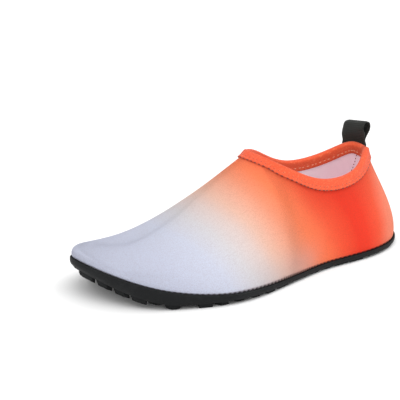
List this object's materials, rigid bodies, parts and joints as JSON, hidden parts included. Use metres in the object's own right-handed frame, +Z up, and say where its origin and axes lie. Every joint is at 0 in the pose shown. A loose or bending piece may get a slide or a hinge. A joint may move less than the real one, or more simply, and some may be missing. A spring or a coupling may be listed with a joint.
{
  "type": "water shoe",
  "caption": "Slip-on water shoe for the left foot: stretch fabric upper on a thin lugged rubber outsole, with a bound collar and a webbing pull loop at the heel",
  "frame": {"origin": "centre of the outsole's bounding box in plan, on the ground", "axes": "+X runs from heel to toe, +Y to the wearer's left, which is the outer side of this left shoe, and +Z up"},
  "size_m": [0.253, 0.105, 0.0866],
  "materials": {
    "outsole": "matte moulded black rubber",
    "insole": "thin foam sheet faced with pale grey fabric",
    "upper": "fine stretch knit, fading from lavender grey at the toe to red orange at the heel",
    "collar_binding": "orange stretch binding tape, stitched",
    "pull_loop": "ribbed black polyester webbing"
  },
  "bodies": {
    "root": {"outsole": "outsole", "insole": "insole", "upper": "upper", "collar_binding": "collar_binding", "pull_loop": "pull_loop"}
  },
  "joints": []
}
